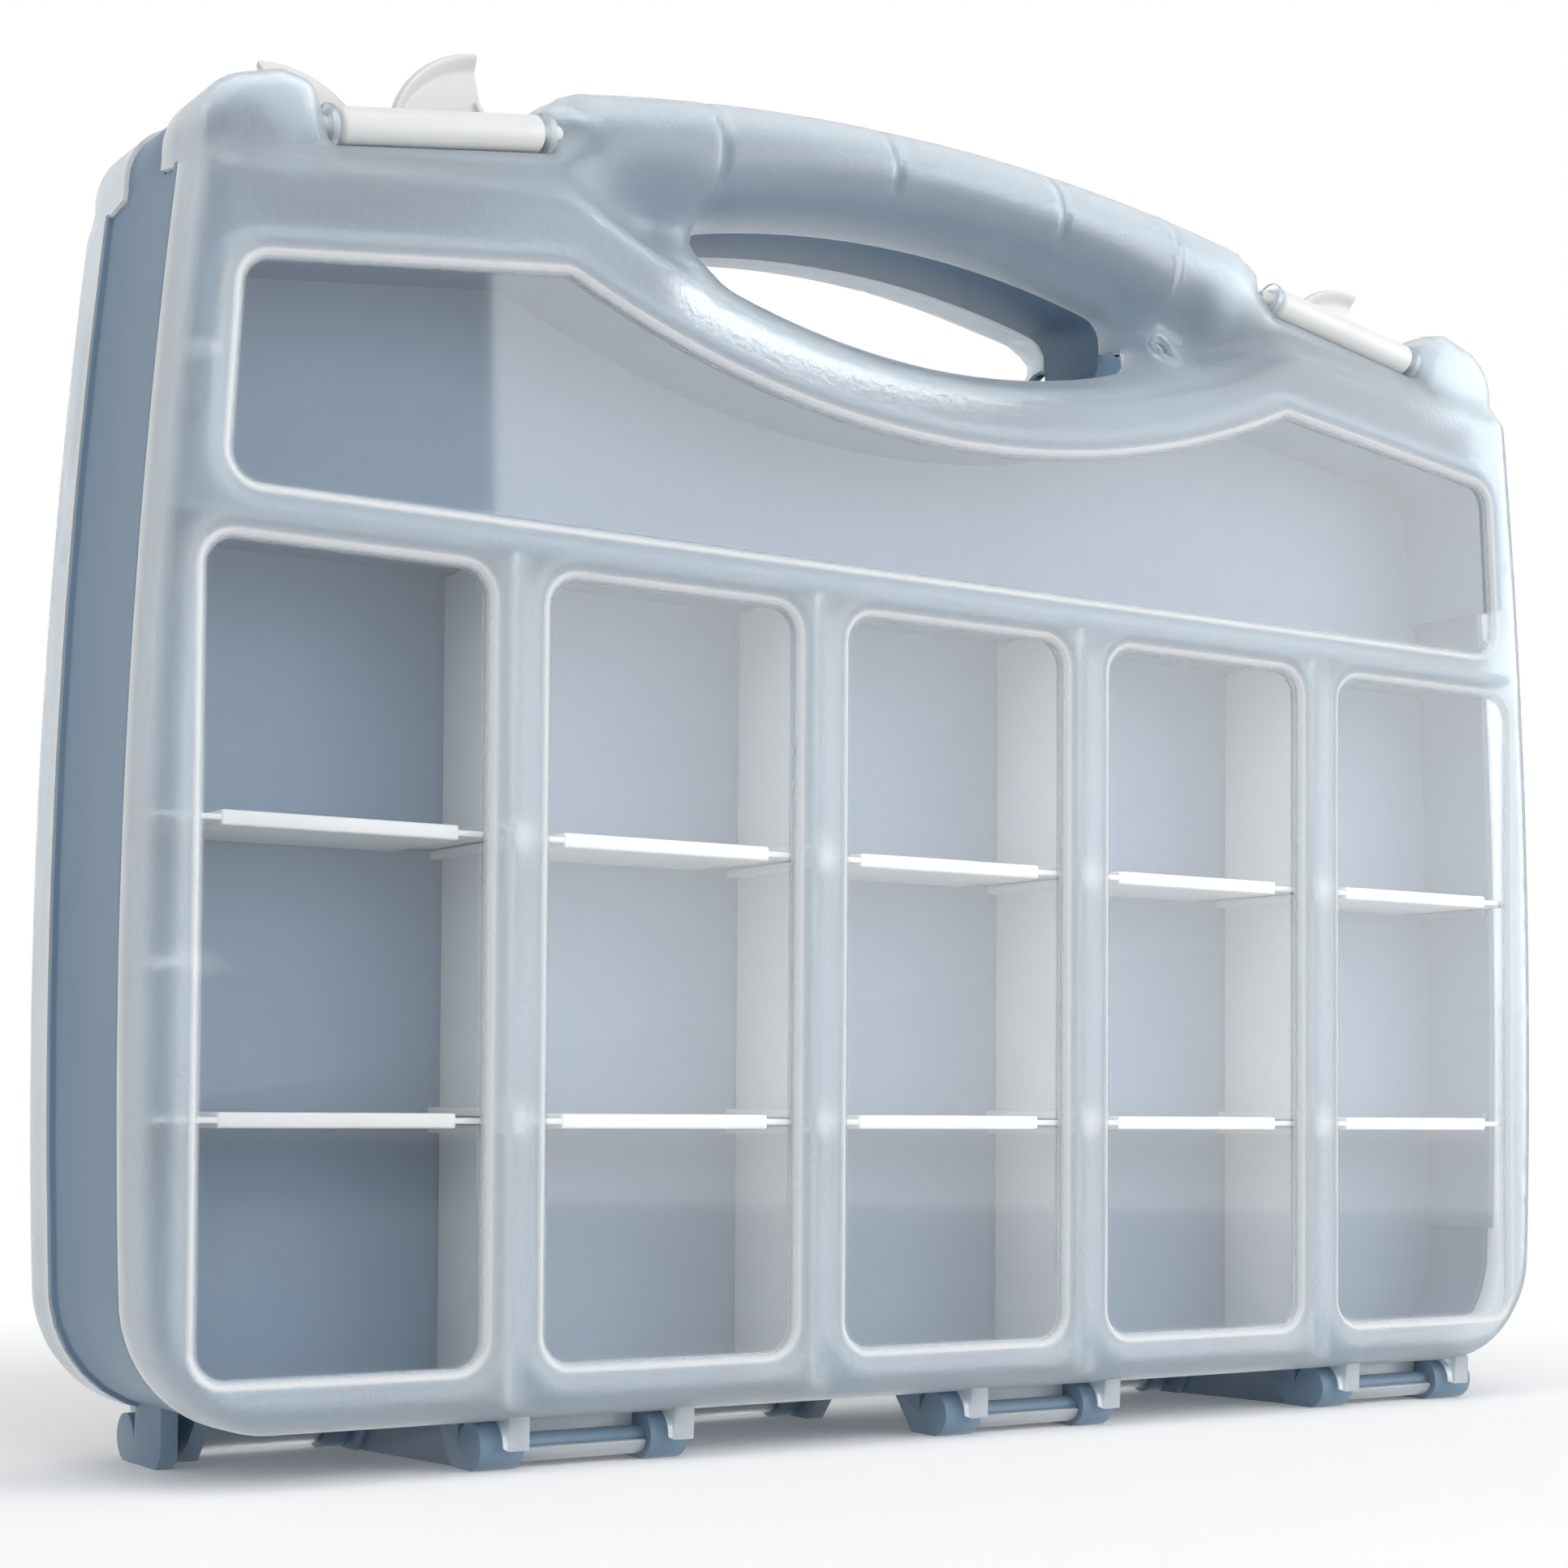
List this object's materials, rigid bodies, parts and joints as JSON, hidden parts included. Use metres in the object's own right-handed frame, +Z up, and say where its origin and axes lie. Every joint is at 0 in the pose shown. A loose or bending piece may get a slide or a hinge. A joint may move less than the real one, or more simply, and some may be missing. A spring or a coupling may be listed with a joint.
{
  "type": "double-sided parts organiser case",
  "caption": "Upright carrying case for small parts, open to front and back, with hinged frosted lids, clip latches, a split handle and loose dividers.",
  "frame": {"origin": "on the floor below the middle of the case, midway between the two lids", "axes": "+Z up, -Y out of the front lid, +X to the right seen from the front"},
  "size_m": [0.418, 0.082, 0.3307],
  "materials": {
    "body_blue": "fine moulded grain",
    "lid_frosted": "frosted translucent moulding with clear windows",
    "latch_white": "smooth satin moulding",
    "divider_white": "smooth natural moulding"
  },
  "bodies": {
    "case": {"case_body": "body_blue", "front_column_1": "divider_white", "front_column_2": "divider_white", "front_column_3": "divider_white", "front_column_4": "divider_white", "rear_column_1": "divider_white", "rear_column_2": "divider_white", "rear_column_3": "divider_white", "rear_column_4": "divider_white", "front_upper_row_1": "divider_white", "front_upper_row_2": "divider_white", "front_upper_row_3": "divider_white", "front_upper_row_4": "divider_white", "front_upper_row_5": "divider_white", "front_lower_row_1": "divider_white", "front_lower_row_2": "divider_white", "front_lower_row_3": "divider_white", "front_lower_row_4": "divider_white", "front_lower_row_5": "divider_white", "rear_lower_row_1": "divider_white", "rear_lower_row_2": "divider_white", "rear_lower_row_3": "divider_white", "rear_lower_row_4": "divider_white", "rear_lower_row_5": "divider_white"},
    "front_lid": {"front_lid": "lid_frosted"},
    "rear_lid": {"rear_lid": "lid_frosted"},
    "front_left_latch": {"front_left_latch": "latch_white"},
    "front_right_latch": {"front_right_latch": "latch_white"},
    "rear_left_latch": {"rear_left_latch": "latch_white"},
    "rear_right_latch": {"rear_right_latch": "latch_white"}
  },
  "joints": [
    {"name": "front_lid_hinge", "type": "hinge", "parent": "case", "child": "front_lid", "pos_m": [0, -0.0285, 0.0055], "axis": [1, 0, 0], "range_deg": [0, 175]},
    {"name": "rear_lid_hinge", "type": "hinge", "parent": "case", "child": "rear_lid", "pos_m": [0, 0.0285, 0.0055], "axis": [-1, 0, 0], "range_deg": [0, 175]},
    {"name": "front_left_latch_hinge", "type": "hinge", "parent": "front_lid", "child": "front_left_latch", "pos_m": [-0.14, -0.03, 0.3015], "axis": [0.9863, 0, 0.165], "range_deg": [0, 100]},
    {"name": "front_right_latch_hinge", "type": "hinge", "parent": "front_lid", "child": "front_right_latch", "pos_m": [0.14, -0.03, 0.3015], "axis": [0.9863, 0, -0.165], "range_deg": [0, 100]},
    {"name": "rear_left_latch_hinge", "type": "hinge", "parent": "rear_lid", "child": "rear_left_latch", "pos_m": [-0.14, 0.03, 0.3015], "axis": [-0.9863, 0, -0.165], "range_deg": [0, 100]},
    {"name": "rear_right_latch_hinge", "type": "hinge", "parent": "rear_lid", "child": "rear_right_latch", "pos_m": [0.14, 0.03, 0.3015], "axis": [-0.9863, 0, 0.165], "range_deg": [0, 100]}
  ]
}
